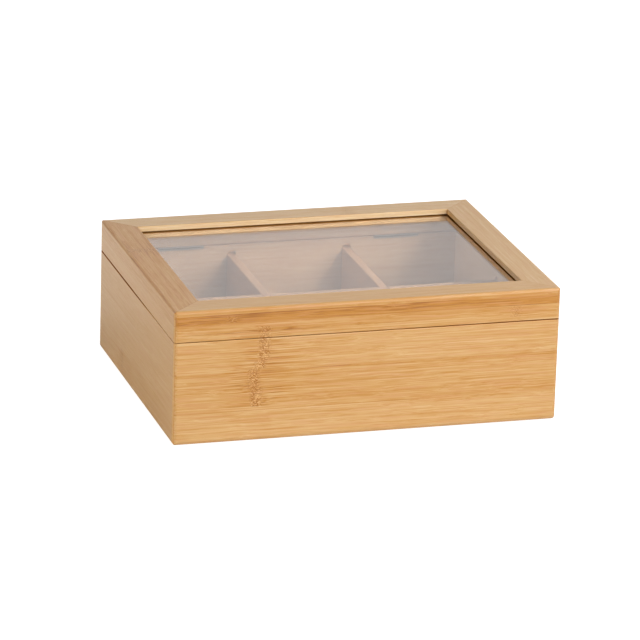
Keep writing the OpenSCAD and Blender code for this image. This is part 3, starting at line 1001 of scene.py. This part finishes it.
bpy.ops.object.select_all(action="DESELECT")
bpy.ops.mesh.primitive_cylinder_add(
    vertices=32, radius=HEAD_MM / 2 * MM, depth=RIM_HIGH * MM, location=(0, 0, -RIM_HIGH / 2 * MM))
screw = bpy.context.object
screw.name = "screw"
bpy.ops.object.transform_apply(location=True, rotation=True, scale=True)
bpy.ops.object.mode_set(mode="EDIT")
pick("faces", lambda f: f.normal.z < -0.9)
reached, radius = RIM_HIGH, HEAD_MM / 2
for depth, new_radius in SCREW_PROFILE:
    bpy.ops.mesh.extrude_region_move(TRANSFORM_OT_translate={
        "value": (0, 0, (reached - depth) * MM)})
    bpy.ops.transform.resize(value=(new_radius / radius, new_radius / radius, 1))
    reached, radius = depth, new_radius
bpy.ops.object.mode_set(mode="OBJECT")
print("screw core", [round(x / MM, 2) for x in screw.dimensions], "mm")

# %% [markdown]
# ### The cross recess
# Two bars that narrow downwards, one across the other, are cut out of the head.

# %% Cross recess
RECESS_L, RECESS_W, RECESS_DEEP = 2.2, 0.6, 0.7
RECESS_TAPER = 0.5

for quarter in (0, math.pi / 2):
    bpy.ops.object.select_all(action="DESELECT")
    bpy.ops.mesh.primitive_cube_add(
        size=1, location=(0, 0, 0), rotation=(0, 0, quarter),
        scale=(RECESS_L * MM, RECESS_W * MM, 2 * RECESS_DEEP * MM))
    tool = bpy.context.object
    bpy.ops.object.transform_apply(location=True, rotation=True, scale=True)
    bpy.ops.object.mode_set(mode="EDIT")
    pick("faces", lambda f: f.normal.z < -0.9)
    bpy.ops.transform.resize(value=(RECESS_TAPER, RECESS_TAPER, 1))
    bpy.ops.object.mode_set(mode="OBJECT")
    combine(screw, tool, "DIFFERENCE")
print("screw with its recess:", len(screw.data.polygons), "faces")

# %% [markdown]
# ### The thread
# A small square plane stands beside the core. Its outer edge is squeezed to a ridge, its
# face is deleted so that only the outline winds down, and the open ends are filled, which
# makes a closed body that can be joined to the core.

# %% Screw thread
PITCH_MM, THREAD_TURNS, THREAD_STEPS = 0.85, 6, 20
RIDGE_MM, RIDGE_OUT, RIDGE_EDGE, THREAD_TOP = 0.44, 0.06, 0.15, 2.4

bpy.ops.object.select_all(action="DESELECT")
bpy.ops.mesh.primitive_plane_add(
    size=RIDGE_MM * MM, location=((CORE_R + RIDGE_OUT) * MM, 0, -THREAD_TOP * MM),
    rotation=(math.pi / 2, 0, 0))
thread = bpy.context.object
bpy.ops.object.transform_apply(location=True, rotation=True, scale=True)
bpy.ops.object.mode_set(mode="EDIT")
pick("edges", lambda e: middle(e).x > CORE_R + NEAR_MM)
bpy.ops.transform.resize(value=(1, 1, RIDGE_EDGE))
bpy.ops.mesh.select_all(action="SELECT")
bpy.ops.mesh.delete(type="ONLY_FACE")
bpy.ops.object.mode_set(mode="OBJECT")
apply_modifier(thread, "SCREW", axis="Z", screw_offset=-PITCH_MM * MM, iterations=THREAD_TURNS,
               steps=THREAD_STEPS, render_steps=THREAD_STEPS, use_normal_calculate=True)
bpy.ops.object.mode_set(mode="EDIT")
bpy.ops.mesh.select_all(action="SELECT")
bpy.ops.mesh.fill_holes(sides=4)
bpy.ops.mesh.normals_make_consistent(inside=False)
bpy.ops.object.mode_set(mode="OBJECT")
combine(screw, thread, "UNION")
apply_modifier(screw, "WELD", merge_threshold=WELD_MM * MM)
bpy.ops.object.shade_smooth_by_angle(angle=SMOOTH_UP_TO)
print("screw with its thread:", len(screw.data.polygons), "faces")

# %% [markdown]
# ## Everything in its place
# Each hinge gets one copy of each leaf, a pin and four screws. A screw in the box points
# down and a screw in the lid points up, so that the lid's screws are the same screw turned
# over. The leaf and the screws of the lid ride with the lid; the pin stays in the outer
# knuckles, so it rides with the box.

# %% Hinges and screws
OVER = Matrix.Rotation(math.pi, 4, "X")

for side, place in pin_place.items():
    place_copy(lid_leaf, side + "_lid_leaf", place, "lid", side + "_hinge_lid_leaf",
               leaf_steel)
    place_copy(body_leaf, side + "_body_leaf", place, "box", side + "_hinge_body_leaf",
               leaf_steel)
    place_copy(pin, side + "_pin", place, "box", side + "_hinge_pin", screw_steel)
    for number, x in enumerate((-SCREW_X, SCREW_X), 1):
        hole = place + Vector((x, SCREW_Y, 0)) * MM
        head = Vector((0, 0, LEAF_CLEAR * MM))
        place_copy(screw, f"{side}_body_screw_{number}", hole - head, "box",
                   "body_hinge_screws", screw_steel)
        place_copy(screw, f"{side}_lid_screw_{number}", hole + head, "lid",
                   "lid_hinge_screws", screw_steel, OVER)
for master in (lid_leaf, body_leaf, pin, screw):
    bpy.data.objects.remove(master)
print("hinge pieces placed at", len(pin_place), "hinges")
